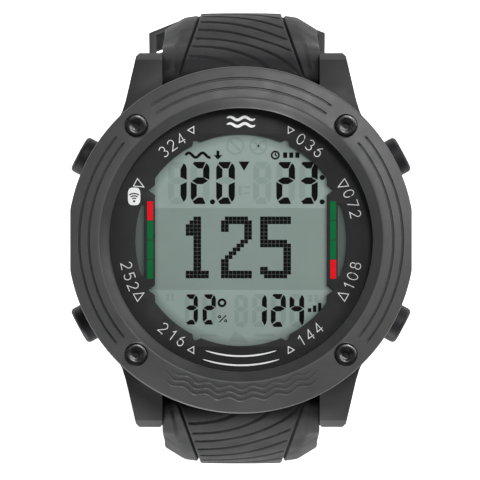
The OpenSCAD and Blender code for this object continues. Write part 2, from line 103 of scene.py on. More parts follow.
class Paint:
    """Builds one procedural material: colour that varies, grain, and wear on the edges."""

    def __init__(self, name, rough, metal=0.0, gloss=0.5, coat=0.0):
        self.material = bpy.data.materials.new("look_" + name)
        self.material.use_nodes = True
        self.nodes = self.material.node_tree.nodes
        self.link = self.material.node_tree.links.new
        self.shader = self.nodes["Principled BSDF"]
        for socket, value in (("Roughness", rough), ("Metallic", metal), ("Specular IOR Level", gloss),
                              ("Coat Weight", coat)):
            self.shader.inputs[socket].default_value = value
        self.place = add(self.nodes, "TexCoord").outputs["Object"]
        self.base = None

    def noise(self, size, detail=3.0, stretch=(1, 1, 1)):
        """Noise whose features are about `size` millimetres across."""
        scaled = add(self.nodes, "Mapping", {"Scale": [s / (size * MM) for s in stretch]})
        self.link(self.place, scaled.inputs["Vector"])
        node = add(self.nodes, "TexNoise", {"Scale": 1.0, "Detail": detail})
        self.link(scaled.outputs["Vector"], node.inputs["Vector"])
        return node.outputs["Fac"]

    def spread(self, value, from_low, from_high, to_low, to_high):
        """Maps one range of a value onto another."""
        node = add(self.nodes, "MapRange", {"From Min": from_low, "From Max": from_high,
                                            "To Min": to_low, "To Max": to_high})
        self.link(value, node.inputs["Value"])
        return node.outputs["Result"]

    def mix(self, share, first, second):
        """Mixes two colours; each is a tuple or a socket."""
        node = add(self.nodes, "Mix")
        node.data_type = "RGBA"
        self.link(share, node.inputs["Factor"])
        for socket, colour in ((node.inputs[6], first), (node.inputs[7], second)):
            if isinstance(colour, tuple):
                socket.default_value = (*colour, 1.0)
            else:
                self.link(colour, socket)
        return node.outputs[2]

    def colour(self, base, size, amount):
        """Base colour that drifts lighter and darker by `amount` over `size` millimetres."""
        share = self.spread(self.noise(size), 0.3, 0.7, 0.0, 1.0)
        dark = tuple(c * (1 - amount) for c in base)
        light = tuple(min(1.0, c * (1 + amount)) for c in base)
        self.base = self.mix(share, dark, light)
        return self

    def wear(self, colour, strength):
        """Lighter, rubbed colour along the raised edges."""
        edges = add(self.nodes, "NewGeometry").outputs["Pointiness"]
        share = self.spread(edges, *WORN_EDGE, 0.0, strength)
        self.base = self.mix(share, self.base, colour)
        return self

    def rough(self, size, least, most):
        rough = self.spread(self.noise(size, 4.0), 0.3, 0.7, least, most)
        self.link(rough, self.shader.inputs["Roughness"])
        return self

    def grain(self, size, depth, detail=2.0, stretch=(1, 1, 1)):
        """Bump from noise: features of `size` and a relief of `depth`, in millimetres."""
        bump = add(self.nodes, "Bump", {"Distance": depth * MM, "Strength": 1.0})
        self.link(self.noise(size, detail, stretch), bump.inputs["Height"])
        self.link(bump.outputs["Normal"], self.shader.inputs["Normal"])
        return self

    def done(self):
        self.link(self.base, self.shader.inputs["Base Color"])
        return self.material


def grey(value, blue=1.0):
    return (value, value, value * blue)


def moulded(name, shade, rough, blue=1.04, grain_depth=0.012, worn=1.8, drift=0.1, gloss=0.42):
    """Fine-grained moulded plastic or rubber."""
    paint = Paint(name, rough, gloss=gloss)
    paint.colour(grey(shade, blue), 7.0, drift).wear(grey(shade * worn, blue), 0.15)
    return paint.rough(2.5, rough - 0.06, rough + 0.06).grain(0.16, grain_depth).done()


def metal(name, shade, rough, blue=1.0, stretch=(1, 1, 1)):
    """Turned or brushed metal; stretch says which way the brushing runs."""
    paint = Paint(name, rough, metal=1.0)
    paint.colour(grey(shade, blue), 1.5, 0.08).rough(0.8, rough * 0.8, rough * 1.25)
    return paint.grain(0.3, 0.004, 3.0, stretch).done()


def rubber_seal():
    paint = Paint("seal", 0.5)
    return paint.colour(grey(0.012), 1.0, 0.2).rough(1.0, 0.42, 0.6).grain(0.1, 0.004).done()


def glass():
    """Flat mineral glass: clear, with a faint coated reflection."""
    material = bpy.data.materials.new("look_glass")
    material.use_nodes = True
    nodes, link = material.node_tree.nodes, material.node_tree.links.new
    nodes.remove(nodes["Principled BSDF"])
    clear, gloss = add(nodes, "BsdfTransparent"), add(nodes, "BsdfGlossy")
    smudge = add(nodes, "TexNoise", {"Scale": 120.0})
    spread = add(nodes, "MapRange", {"To Min": 0.015, "To Max": 0.06})
    link(smudge.outputs["Fac"], spread.inputs["Value"])
    link(spread.outputs["Result"], gloss.inputs["Roughness"])
    facing = add(nodes, "NewGeometry")
    outer = add(nodes, "Math", {0: 1.0}, "SUBTRACT")
    link(facing.outputs["Backfacing"], outer.inputs[1])
    share = add(nodes, "Math", None, "MULTIPLY")
    link(add(nodes, "Fresnel", {"IOR": 1.22}).outputs["Fac"], share.inputs[0])
    link(outer.outputs["Value"], share.inputs[1])
    mixed = add(nodes, "MixShader")
    link(share.outputs["Value"], mixed.inputs["Fac"])
    link(clear.outputs["BSDF"], mixed.inputs[1])
    link(gloss.outputs["BSDF"], mixed.inputs[2])
    link(mixed.outputs["Shader"], nodes["Material Output"].inputs["Surface"])
    return material


def printed(name, colour):
    """Screen-printed ink with a slightly uneven coat."""
    paint = Paint("print_" + name, 0.5, gloss=0.06)
    paint.colour(colour, 0.8, 0.05).rough(0.5, 0.42, 0.58)
    return paint.grain(0.08, 0.001).done()


RIM_SHADE = (0.0142, 0.016)      # distance from the middle where the rim's shadow starts and ends
SIDE_SHADE = (0.0121, 0.0145)    # the same to the left and right


def liquid_crystal(name, colour):
    """Display layer: an even tone that falls off in the shadow under the window's rim."""
    paint = Paint(name, 0.45, gloss=0.06)
    paint.colour(colour, 6.0, 0.03)
    nodes, link = paint.nodes, paint.link
    split, flat = add(nodes, "SeparateXYZ"), add(nodes, "CombineXYZ")
    link(paint.place, split.inputs["Vector"])
    link(split.outputs["X"], flat.inputs["X"])
    link(split.outputs["Y"], flat.inputs["Y"])
    reach = add(nodes, "VectorMath", None, "LENGTH")
    link(flat.outputs["Vector"], reach.inputs[0])
    aside = add(nodes, "Math", None, "ABSOLUTE")
    link(split.outputs["X"], aside.inputs[0])
    dark = tuple(c * 0.3 for c in colour)
    rim = paint.spread(reach.outputs["Value"], *RIM_SHADE, 0.0, 0.75)
    side = paint.spread(aside.outputs["Value"], *SIDE_SHADE, 0.0, 0.9)
    paint.base = paint.mix(side, paint.mix(rim, paint.base, dark), dark)
    return paint.rough(3.0, 0.4, 0.5).grain(0.2, 0.0006).done()


def circuit_board():
    """Green solder mask with copper tracks showing through as lighter lines."""
    paint = Paint("board", 0.35, coat=0.3)
    paint.colour((0.01, 0.09, 0.035), 1.2, 0.25)
    tracks = add(paint.nodes, "TexBrick", {"Scale": 700.0, "Mortar Size": 0.03})
    paint.link(paint.place, tracks.inputs["Vector"])
    paint.base = paint.mix(tracks.outputs["Fac"], paint.base, (0.03, 0.2, 0.07))
    return paint.grain(0.2, 0.006).done()


LOOKS = {
    "case": moulded("case", 0.027, 0.52, gloss=0.25),
    "bezel": moulded("bezel", 0.048, 0.46, blue=1.0, grain_depth=0.014, worn=1.5, drift=0.08, gloss=0.5),
    "black_steel": metal("black_steel", 0.06, 0.28),
    "glass": glass(),
    "seal": rubber_seal(),
    "mask": moulded("mask", 0.01, 0.6, grain_depth=0.003, worn=1.2, drift=0.15, gloss=0.3),
    "lcd": liquid_crystal("lcd", (0.265, 0.33, 0.302)),
    "white_plastic": moulded("white_plastic", 0.6, 0.4, worn=1.2, drift=0.05),
    "board": circuit_board(),
    "chip": moulded("chip", 0.02, 0.45, grain_depth=0.006),
    "copper": metal("copper", 0.5, 0.3, blue=0.35),
    "brass": metal("brass", 0.6, 0.25, blue=0.4),
    "steel": metal("steel", 0.55, 0.28),
    "case_back": metal("case_back", 0.42, 0.34, stretch=(0.08, 1, 1)),
    "cap": moulded("cap", 0.05, 0.48),
    "strap": moulded("strap", 0.021, 0.6, blue=1.06, grain_depth=0.02, worn=2.0, drift=0.12, gloss=0.12),
    "buckle": metal("buckle", 0.2, 0.34, stretch=(0.1, 1, 1)),
    "button": moulded("button", 0.014, 0.5, blue=1.12, gloss=0.2),
}
# Painted light: the strap's rubber made lighter for the keepers to offset the shade they sit in
BRIGHTENED_KEEPER_LOOK = moulded("keeper", 0.042, 0.6, blue=1.06, grain_depth=0.02, gloss=0.35)
# Painted shade: the bezel's own plastic made darker for its inward-facing slope
SHADED_SLOPE_LOOK = moulded("slope", 0.036, 0.45, blue=1.0, grain_depth=0.004, worn=1.2)
INK_BLACK = liquid_crystal("segment", (0.001, 0.001, 0.001))
INK_GHOST = liquid_crystal("ghost_segment", (0.222, 0.285, 0.26))
INK_BAND = liquid_crystal("matrix_band", (0.212, 0.265, 0.243))
INK_WHITE = printed("white", (0.82, 0.82, 0.82))
INK_RED = printed("red", (0.7, 0.006, 0.013))
INK_GREEN = printed("green", (0.001, 0.13, 0.036))

# ---- mesh tools


def arc(x, y, r, degrees):
    """Points of a circle at the given angles, anticlockwise from the right."""
    turns = [math.radians(d) for d in degrees]
    return [(x + r * math.cos(a), y + r * math.sin(a)) for a in turns]


def circle(x, y, r, steps=28):
    """Points around a circle."""
    turns = [2 * math.pi * i / steps for i in range(steps)]
    return [(x + r * math.cos(a), y + r * math.sin(a)) for a in turns]


def placed(name, data):
    """New object, linked to the scene."""
    made = bpy.data.objects.new(name, data)
    bpy.context.scene.collection.objects.link(made)
    return made


def piece(name, mesh, look, body, stands_for=(), smooth=35):
    """Links a mesh as a piece of the object; its edges stay sharp above `smooth` degrees."""
    made = placed(name, mesh)
    mesh.materials.clear()
    mesh.materials.append(look)
    shade(mesh, smooth)
    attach(made, body)
    if stands_for:
        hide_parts(*stands_for)
    return made


def shade(mesh, degrees):
    """Smooth shading, with sharp edges where faces meet at more than `degrees`."""
    bm = bmesh.new()
    bm.from_mesh(mesh)
    limit = math.radians(degrees)
    for face in bm.faces:
        face.smooth = True
    for edge in bm.edges:
        edge.smooth = len(edge.link_faces) == 2 and edge.calc_face_angle(0) < limit
    bm.to_mesh(mesh)
    bm.free()


def mesh_from(points, faces, name):
    """Mesh from points in millimetres."""
    mesh = bpy.data.meshes.new(name)
    mesh.from_pydata([Vector(p) * MM for p in points], [], faces)
    return mesh


def tidy(mesh):
    """Joins doubled points and turns every face outwards."""
    bm = bmesh.new()
    bm.from_mesh(mesh)
    bmesh.ops.remove_doubles(bm, verts=bm.verts, dist=1e-7)
    bmesh.ops.recalc_face_normals(bm, faces=bm.faces)
    bm.to_mesh(mesh)
    bm.free()
    return mesh


def grid_mesh(rows, wrap_rows, name):
    """Closed skin over rows of points (each row is a ring); the ends are capped unless rows wrap."""
    count, across = len(rows), len(rows[0])
    points = [p for row in rows for p in row]
    faces = []
    for i in range(count if wrap_rows else count - 1):
        here, there = i * across, (i + 1) % count * across
        for j in range(across):
            k = (j + 1) % across
            faces.append((here + j, here + k, there + k, there + j))
    if not wrap_rows:
        faces.append(tuple(reversed(range(across))))
        faces.append(tuple(range((count - 1) * across, count * across)))
    mesh = mesh_from(points, faces, name)
    mesh.validate()
    return tidy(mesh)


def turned(profile, steps, name, change=None):
    """Solid turned about Z from a closed (radius, height) profile; `change` may lift a point."""
    rows = []
    for i in range(steps):
        turn = 2 * math.pi * i / steps
        ring = [(r, z + (change(r, z, turn) if change else 0.0)) for r, z in profile]
        rows.append([(r * math.cos(turn), r * math.sin(turn), z) for r, z in ring])
    return grid_mesh(rows, True, name)


def result_of(obj):
    """Applies an object's modifiers and returns the mesh."""
    graph = bpy.context.evaluated_depsgraph_get()
    mesh = bpy.data.meshes.new_from_object(obj.evaluated_get(graph))
    obj.modifiers.clear()
    return mesh


def cut(mesh, cutter):
    """The mesh with the cutter taken away."""
    body, tool = placed("body", mesh), placed("tool", cutter)
    step = body.modifiers.new("cut", "BOOLEAN")
    step.operation = "DIFFERENCE"
    step.object = tool
    step.solver = "EXACT"
    made = result_of(body)
    bpy.data.objects.remove(body)
    bpy.data.objects.remove(tool)
    return made


def joined(meshes):
    """One mesh out of several."""
    bm = bmesh.new()
    for mesh in meshes:
        bm.from_mesh(mesh)
    made = bpy.data.meshes.new("joined")
    bm.to_mesh(made)
    bm.free()
    return made


def moved(mesh, matrix):
    made = mesh.copy()
    made.transform(matrix)
    return made


def spin(degrees, axis):
    return Matrix.Rotation(math.radians(degrees), 4, axis)


def shift(x, y, z=0.0):
    return Matrix.Translation(Vector((x, y, z)) * MM)


SAME_FACE = math.radians(0.6)    # CAD facets that meet flatter than this are joined
SHARP_EDGE = math.radians(28.0)  # edges sharper than this are rounded


def softened(node, width):
    """Copy of a CAD node with its edges rounded over `width` millimetres."""
    mesh = frame["nodes"][node].data.copy()
    bm = bmesh.new()
    bm.from_mesh(mesh)
    bmesh.ops.remove_doubles(bm, verts=bm.verts, dist=2e-6)
    bmesh.ops.dissolve_limit(bm, angle_limit=SAME_FACE, verts=bm.verts, edges=bm.edges)
    bm.to_mesh(mesh)
    bm.free()
    work = placed("work", mesh)
    step = work.modifiers.new("round", "BEVEL")
    step.width = width * MM
    step.segments = 3
    step.limit_method = "ANGLE"
    step.angle_limit = SHARP_EDGE
    step.use_clamp_overlap = True
    step.miter_outer = "MITER_ARC"
    made = result_of(work)
    bpy.data.objects.remove(work)
    return made


def replace_softened(node, body, slot, width, look=None):
    """Shows a CAD node with its edges rounded."""
    piece(node + "_skin", softened(node, width), look or LOOKS[slot], body, (node,))


# ---- camera, light and floor

FACE_WIDTH = 70.6        # width of the picture at the bezel
CAMERA_AWAY = 3000.0
CAMERA_ASIDE = -0.15
FLOOR_GLOW = 0.78        # the floor is a light table, so shadows on it stay faint
FLOOR_HALF = 3.0         # metres
BEZEL_TOP = high("bezel_ring").z


def camera():
    data = bpy.data.cameras.new("camera")
    data.sensor_width = 36.0
    data.lens = data.sensor_width * CAMERA_AWAY / FACE_WIDTH
    data.clip_end = 20.0
    made = placed("camera", data)
    made.location = Vector((CAMERA_ASIDE, 0.0, BEZEL_TOP + CAMERA_AWAY)) * MM
    bpy.context.scene.camera = made


def area_light(name, spot, size, power):
    """Round soft light at a place in metres, turned towards the watch."""
    data = bpy.data.lights.new(name, "AREA")
    data.shape = "DISK"
    data.size = size
    data.energy = power
    made = placed(name, data)
    made.location = spot
    made.rotation_euler = (-Vector(spot)).to_track_quat("-Z", "Y").to_euler()


def studio():
    """Key from 2 o'clock, sheen from high up at 1, low fill from 6 and a weak fill from 9."""
    area_light("key", (1.1, 0.5, 1.1), 0.9, 13.5)
    area_light("sheen", (0.3, 0.66, 1.6), 0.5, 15.0)
    area_light("low_fill", (-0.4, -1.5, 0.26), 0.9, 28.0)
    area_light("left_fill", (-1.1, 0.3, 0.9), 0.9, 1.5)
    world = bpy.data.worlds.new("studio")
    world.use_nodes = True
    sky = world.node_tree.nodes["Background"].inputs
    sky["Color"].default_value = (0.95, 0.97, 1.0, 1)
    sky["Strength"].default_value = 0.14
    bpy.context.scene.world = world
    bpy.context.scene.view_settings.view_transform = "Standard"


def studio_floor():
    bottom = CAD_BOUNDS[0][2] - 0.2 * MM
    mesh = bpy.data.meshes.new("floor")
    corners = [(x * FLOOR_HALF, y * FLOOR_HALF, bottom) for x, y in ((-1, -1), (1, -1), (1, 1), (-1, 1))]
    mesh.from_pydata(corners, [], [(0, 1, 2, 3)])
    paint = Paint("floor", 0.8)
    paint.colour(grey(0.9), 60.0, 0.01)
    paint.shader.inputs["Emission Color"].default_value = (1, 1, 1, 1)
    paint.shader.inputs["Emission Strength"].default_value = FLOOR_GLOW
    mesh.materials.append(paint.done())
    placed("floor", mesh)


# ---- bezel

LIP_R = 19.4
SLOPE_R = 20.85
CROWN_DROP = 0.7         # how far the bezel's top falls from its inner to its outer edge
GROOVES = (22.4, 23.8)
GROOVE_HALF = 0.18
GROOVE_DEPTH = 0.32
EDGE_ROUND = 0.3         # rounding of the bezel's outer edge
BEZEL_R = high("bezel_ring").x
SHELL_R = BEZEL_R + 0.54     # the shell reaches over the case's flange
SIDE_FLAT = BEZEL_R + 0.14   # and is flattened at the sides like the case
CASE_TOP = low("bezel_ring").z
LENS_TOP = high("lens").z
LENS_R = high("lens").x
SCREWS = [(x * 15.45, y * 16.85) for x in (-1, 1) for y in (-1, 1)]
SCREW_HEAD_R = 1.62
DISH_R = 0.98            # hollow in the middle of a screw head
DISH_DEPTH = 0.22
HEX_R = 0.6
POCKET_R, POCKET_DEPTH = 1.7, 1.75


def bezel_height(r):
    """Height of the bezel's crowned top."""
    share = (r - SLOPE_R) / (BEZEL_R - 0.8 - SLOPE_R)
    return BEZEL_TOP - CROWN_DROP * max(0.0, share) ** 1.4


def groove_share(turn):
    """1 where the two fine grooves run: around 12, 3 and 9 o'clock; 0 elsewhere."""
    best = 0.0
    for middle, half in ((90, 34), (0, 40), (180, 40)):
        away = abs((math.degrees(turn) - middle + 180) % 360 - 180)
        best = max(best, min(1.0, max(0.0, (half - away) / 1.2)))
    return best


def bezel_profile():
    """(radius, height) around the ring's section, anticlockwise from the inner lower edge."""
    seat, bore = LENS_TOP + 0.1, LENS_R + 0.1
    shoulder = SHELL_R - EDGE_ROUND
    middle = bezel_height(shoulder) - EDGE_ROUND
    outline = [(bore, CASE_TOP), (SHELL_R, CASE_TOP), (SHELL_R, middle)]
    outline += arc(shoulder, middle, EDGE_ROUND, (20, 40, 60, 75))
    edges = [shoulder - 0.2, 24.5]
    for r in reversed(GROOVES):
        edges += [r + GROOVE_HALF, r + 0.08, r - 0.08, r - GROOVE_HALF]
    edges += [22.0, 21.6, 21.2, SLOPE_R + 0.12]
    outline += [(r, bezel_height(r)) for r in edges]
    outline += [(SLOPE_R, BEZEL_TOP - 0.03), (SLOPE_R - 0.12, BEZEL_TOP - 0.12)]
    slope = (BEZEL_TOP - 0.12 - seat - 0.24) / (SLOPE_R - 0.12 - LIP_R - 0.1)
    outline += [(r, seat + 0.24 + slope * (r - LIP_R - 0.1)) for r in (20.2, 19.7, LIP_R + 0.1)]
    outline += [(LIP_R + 0.02, seat + 0.16), (LIP_R, seat + 0.08), (LIP_R, seat), (bore, seat)]
    return outline


def bezel_change(r, z, turn):
    in_groove = any(abs(r - g) < 0.1 for g in GROOVES) and z > BEZEL_TOP - 1
    return -GROOVE_DEPTH * groove_share(turn) if in_groove else 0.0


def pocket_cutter():
    """Screw pocket with a small flare at its mouth."""
    floor, top = BEZEL_TOP - POCKET_DEPTH, BEZEL_TOP + 0.3
    return turned([(0, floor), (POCKET_R, floor), (POCKET_R, BEZEL_TOP - 0.32),
                   (POCKET_R + 0.06, BEZEL_TOP - 0.2), (POCKET_R + 0.25, BEZEL_TOP),
                   (POCKET_R + 0.5, top), (0, top)], 64, "pocket")


def ripple(middle_r, half_degrees, height, wide):
    """Raised wavy line along the bezel at 6 o'clock, thinning out at both ends."""
    rows, steps = [], 240
    for i in range(steps + 1):
        share = 2 * i / steps - 1
        turn = math.radians(270 + half_degrees * share)
        r = middle_r + 0.26 * math.cos(math.radians(half_degrees * share * 42))
        taper = math.sqrt(max(0.0, 1 - abs(share) ** 6))
        half, rise = 0.02 + wide * taper, 0.01 + height * taper
        across = [(-half, -0.3), (-half * 0.9, rise * 0.55), (-half * 0.5, rise), (half * 0.5, rise),
                  (half * 0.9, rise * 0.55), (half, -0.3)]
        ring = [(r + dr, bezel_height(r + dr) + dz) for dr, dz in across]
        rows.append([(q * math.cos(turn), q * math.sin(turn), z) for q, z in ring])
    return grid_mesh(rows, False, "ripple")


def bezel():
    ring = turned(bezel_profile(), 720, "bezel", bezel_change)
    for vertex in ring.vertices:
        vertex.co.x = max(-SIDE_FLAT * MM, min(SIDE_FLAT * MM, vertex.co.x))
    pockets = joined([moved(pocket_cutter(), shift(x, y)) for x, y in SCREWS])
    ring = cut(ring, pockets)
    ripples = [ripple(r, half, 0.13, 0.15) for r, half in ((21.75, 29), (22.6, 31), (23.45, 29))]
    shell = piece("bezel_shell", ring, LOOKS["bezel"], "case", ("bezel_ring",), 25)
    # The inner slope's faces take the darker copy of the bezel's look: painted shade, not a different
    # plastic
    shell.data.materials.append(SHADED_SLOPE_LOOK)
    for face in shell.data.polygons:
        out = math.hypot(face.center.x, face.center.y) / MM
        if LIP_R + 0.11 < out < SLOPE_R - 0.05 and face.center.z / MM > LENS_TOP + 0.2:
            face.material_index = 1
    piece("bezel_ripples", joined(ripples), LOOKS["bezel"], "case")


def hex_cutter(bottom, top):
    """Socket that narrows a little towards its bottom."""
    rows = [[(x, y, z) for x, y in arc(0, 0, r, range(15, 360, 60))]
            for r, z in ((HEX_R * 0.96, bottom), (HEX_R, top))]
    return grid_mesh(rows, False, "hex")


def screws():
    """Four glossy hex-socket screws with dished heads."""
    top = BEZEL_TOP - 0.38
    seat = low("bezel_screws").z
    dish = [(DISH_R * s, top - DISH_DEPTH * (1 - s * s)) for s in (0.95, 0.85, 0.7, 0.55, 0.3)]
    thread, rim, under = 0.75, SCREW_HEAD_R, top - 1.3
    profile = [(0, seat), (thread - 0.03, seat), (thread, seat + 0.1), (thread, under),
               (rim - 0.08, under), (rim, under + 0.1), (rim, top - 0.2), (rim - 0.07, top - 0.06),
               (rim - 0.2, top), (DISH_R + 0.04, top)] + dish + [(0, top - DISH_DEPTH)]
    head = cut(turned(profile, 72, "screw"), hex_cutter(top - 1.0, top + 0.4))
    made = joined([moved(head, shift(x, y)) for x, y in SCREWS])
    piece("bezel_hex_screws", made, LOOKS["black_steel"], "case", ("bezel_screws",), 30)


# ---- flat artwork


class Art:
    """Collects flat closed shapes, in millimetres, and makes one thin solid of them."""

    def __init__(self, bottom, thickness):
        self.bottom, self.top = bottom, bottom + thickness
        self.points, self.faces = [], []

    def shape(self, outline):
        count, start = len(outline), len(self.points)
        area = sum(a[0] * b[1] - b[0] * a[1] for a, b in zip(outline, outline[1:] + outline[:1]))
        if area < 0:
            outline = outline[::-1]
        self.points += [(x, y, self.bottom) for x, y in outline]
        self.points += [(x, y, self.top) for x, y in outline]
        self.faces.append([start + i for i in reversed(range(count))])
        self.faces.append([start + count + i for i in range(count)])
        for i in range(count):
            k = (i + 1) % count
            self.faces.append([start + i, start + k, start + count + k, start + count + i])
        return self

    def stroke(self, line, width, closed=False, taper=False):
        """Line of even width with mitred corners; a tapered one thins out at both ends."""
        pts = [Vector(p).to_2d() for p in line]
        count = len(pts)
        left, right = [], []
        for i, p in enumerate(pts):
            before = pts[i - 1] if closed or i else p - (pts[1] - p)
            after = pts[(i + 1) % count] if closed or i < count - 1 else p + (p - pts[i - 1])
            d1, d2 = (p - before).normalized(), (after - p).normalized()
            n = Vector((-(d1 + d2).y, (d1 + d2).x)).normalized()
            half = width / 2 / max(0.35, n.dot(Vector((-d1.y, d1.x))))
            if taper:
                half *= math.sqrt(max(0.02, 1 - abs(2 * i / (count - 1) - 1) ** 4))
            left.append(p + n * half)
            right.append(p - n * half)
        for i in range(count if closed else count - 1):
            k = (i + 1) % count
            self.shape([left[i], right[i], right[k], left[k]])
        return self

    def block(self, left, right, bottom, top):
        return self.shape([(left, bottom), (right, bottom), (right, top), (left, top)])

    def mesh(self, name):
        return mesh_from(self.points, self.faces, name)


def bow(x, y, rx, ry, start, end):
    """Points along part of an ellipse, from one angle to another."""
    turns = [math.radians(start + (end - start) * i / 10) for i in range(11)]
    return [(x + rx * math.cos(a), y + ry * math.sin(a)) for a in turns]


# Numerals as strokes in a box one unit high
NUMERALS = {
    "0": [bow(0.3, 0.5, 0.3, 0.5, 0, 180) + bow(0.3, 0.5, 0.3, 0.5, 198, 378)],
    "1": [[(0, 0.78), (0.24, 1), (0.24, 0)]],
    "2": [bow(0.28, 0.72, 0.28, 0.28, 165, -35) + [(0, 0), (0.6, 0)]],
    "3": [bow(0.28, 0.75, 0.26, 0.25, 150, -80), bow(0.28, 0.26, 0.29, 0.26, 85, -150)],
    "4": [[(0.46, 0), (0.46, 1), (0, 0.3), (0.64, 0.3)]],
    "5": [[(0.56, 1), (0.1, 1), (0.05, 0.56)] + bow(0.27, 0.32, 0.3, 0.32, 125, -145)],
    "6": [bow(0.3, 0.32, 0.28, 0.32, 180, -180), [(0.02, 0.34), (0.12, 0.68), (0.42, 1)]],
    "7": [[(0, 1), (0.6, 1), (0.2, 0)]],
    "8": [bow(0.3, 0.75, 0.24, 0.25, 0, 360), bow(0.3, 0.27, 0.29, 0.27, 0, 360)],
}


def numeral_width(character):
    return max(x for line in NUMERALS[character] for x, y in line)


def around(angle, r):
    """Point at a clock angle from 12 and a radius."""
    a = math.radians(90 - angle)
    return (r * math.cos(a), r * math.sin(a))


def arc_points(angle_from, angle_to, r, steps):
    return [around(angle_from + (angle_to - angle_from) * i / steps, r) for i in range(steps + 1)]


# ---- dial ring

MASK_BOTTOM = low("dial_mask").z
MASK_TOP = MASK_BOTTOM + 0.16
INK_TOP = 0.03
WINDOW_R = 15.65
WINDOW_HALF = 12.7
BAR_HALF = 5.75          # half the height of the colour bars
SLIT_X, SLIT_R, SLIT_HALF = 14.2, 15.6, 5.45     # the slit outside each colour bar
CAP_HEIGHT = 1.56
CAP_FOOT = 16.5          # radius of the numerals' inner ends
RING_STROKE = 0.11
RING_DEGREES = (36, 72, 108, 144, 216, 252, 324)   # compass numbers on the ring
NUMERAL_TURN = 5.3       # degrees from one numeral to the next
BADGE = (0.92, 1.3)      # half width and half height of the badge's rounded shape


def window_quarter():
    """Edge of the LCD window from 3 to 12 o'clock: straight side, two notches and round top."""
    corner = math.degrees(math.acos(WINDOW_HALF / WINDOW_R))
    points = [(WINDOW_HALF, 0.0), (WINDOW_HALF, 6.6), (13.75, 7.35), (WINDOW_HALF, 8.15)]
    points += arc_points(90 - corner, 27.4, WINDOW_R, 12)
    points += [around(25.6, WINDOW_R + 0.62), around(24.0, WINDOW_R + 0.62)]
    return points + arc_points(22.2, 0, WINDOW_R, 12)


def mirrored_outline(quarter):
    """Whole outline from its first quarter, anticlockwise."""
    top = quarter + [(-x, y) for x, y in reversed(quarter[:-1])]
    return top + [(x, -y) for x, y in reversed(top[1:-1])]


def slit_outline(side):
    """Slit between a colour bar and the ring: straight inside, an arc outside."""
    outer = [around(90 - d, SLIT_R) for d in range(-20, 21, 4)]
    arc = [(x, y) for x, y in outer if x > SLIT_X + 0.1]
    return [(side * x, y) for x, y in [(SLIT_X, -SLIT_HALF)] + arc + [(SLIT_X, SLIT_HALF)]]


def flat_ring(outer_r, holes, bottom, top, bevel):
    """Flat plate with holes, from a filled 2-D curve."""
    data = bpy.data.curves.new("plate", "CURVE")
    data.dimensions = "2D"
    data.fill_mode = "BOTH"
    for outline in [circle(0, 0, outer_r, 180)] + holes:
        spline = data.splines.new("POLY")
        spline.points.add(len(outline) - 1)
        for point, (x, y) in zip(spline.points, outline):
            point.co = (x, y, 0, 1)
        spline.use_cyclic_u = True
    data.extrude = (top - bottom) / 2 - bevel
    data.bevel_depth = bevel
    data.bevel_resolution = 2
    work = bpy.data.objects.new("plate", data)
    mesh = bpy.data.meshes.new_from_object(work)
    bpy.data.objects.remove(work)
    mesh.transform(Matrix.Translation((0, 0, (top + bottom) / 2 * MM)) @ Matrix.Diagonal((MM, MM, MM, 1)))
    return tidy(mesh)


def dial_ring():
    slits = [slit_outline(side) for side in (-1, 1)]
    plate = flat_ring(LENS_R - 0.25, [mirrored_outline(window_quarter())] + slits,
                      MASK_BOTTOM, MASK_TOP, 0.04)
    piece("dial_plate", plate, LOOKS["mask"], "case", ("dial_mask",), 40)


def arrow(art, tip, middle, half):
    """Small outlined triangle that points at one of the window's notches."""
    tip, middle = Vector(tip), Vector(middle)
    across = Vector((-(tip - middle).y, (tip - middle).x)).normalized() * half
    art.stroke([tip, middle + across, middle - across], RING_STROKE, closed=True)


def ring_print():
    art = Art(MASK_TOP, INK_TOP)
    for x in (-1, 1):
        for y in (-1, 1):
            arrow(art, (x * 6.95, y * 15.7), (x * 7.4, y * 16.45), 0.52)
            arrow(art, (x * 14.3, y * 7.8), (x * 15.55, y * 8.5), 0.62)
    for r in (17.1, 18.45):
        art.stroke(arc_points(180 - 17.8, 180 + 17.8, r, 60), 0.24, taper=True)
    for rise in (0.0, 0.95):
        wave = [(x * 0.1, 16.95 + rise + 0.22 * math.sin(x * 0.1 * 2.9)) for x in range(-21, 22)]
        art.stroke(wave, 0.42, taper=True)
    for degrees in RING_DEGREES:
        outwards = not 90 < degrees < 270
        turn = NUMERAL_TURN if outwards else -NUMERAL_TURN
        for place, character in enumerate(f"{degrees:03d}"):
            ring_numeral(art, character, degrees + (place - 1) * turn, outwards)
    piece("ring_print", art.mesh("ring_print"), INK_WHITE, "case")
    wireless_sign()


def ring_numeral(art, character, angle, outwards):
    """A thin numeral on the ring, its top towards the rim or towards the middle."""
    foot = Vector(around(angle, CAP_FOOT if outwards else CAP_FOOT + CAP_HEIGHT))
    up = foot.normalized() * (1 if outwards else -1)
    across = Vector((up.y, -up.x))
    half = numeral_width(character) / 2
    for line in NUMERALS[character]:
        spots = [foot + (across * (u - half) + up * v) * CAP_HEIGHT for u, v in line]
        art.stroke(spots, RING_STROKE)


def wireless_sign():
    """White badge with three radio arcs, beside the 10 o'clock notch."""
    x, y = around(292.2, 17.0)
    outline = []
    for a in (math.radians(d) for d in range(0, 360, 6)):
        across = math.copysign(abs(math.cos(a)) ** 0.6, math.cos(a))
        along = math.copysign(abs(math.sin(a)) ** 0.6, math.sin(a))
        outline.append((x + BADGE[0] * across, y + BADGE[1] * along))
    badge = Art(MASK_TOP, INK_TOP).shape(outline)
    piece("wireless_badge", badge.mesh("badge"), INK_WHITE, "case")
    arcs = Art(MASK_TOP + INK_TOP, 0.01).shape(circle(x, y - 0.72, 0.17))
    for r in (0.45, 0.8, 1.15):
        arcs.stroke(arc(x, y - 0.72, r, range(52, 129, 4)), 0.17)
    piece("wireless_arcs", arcs.mesh("arcs"), INK_BLACK, "case")


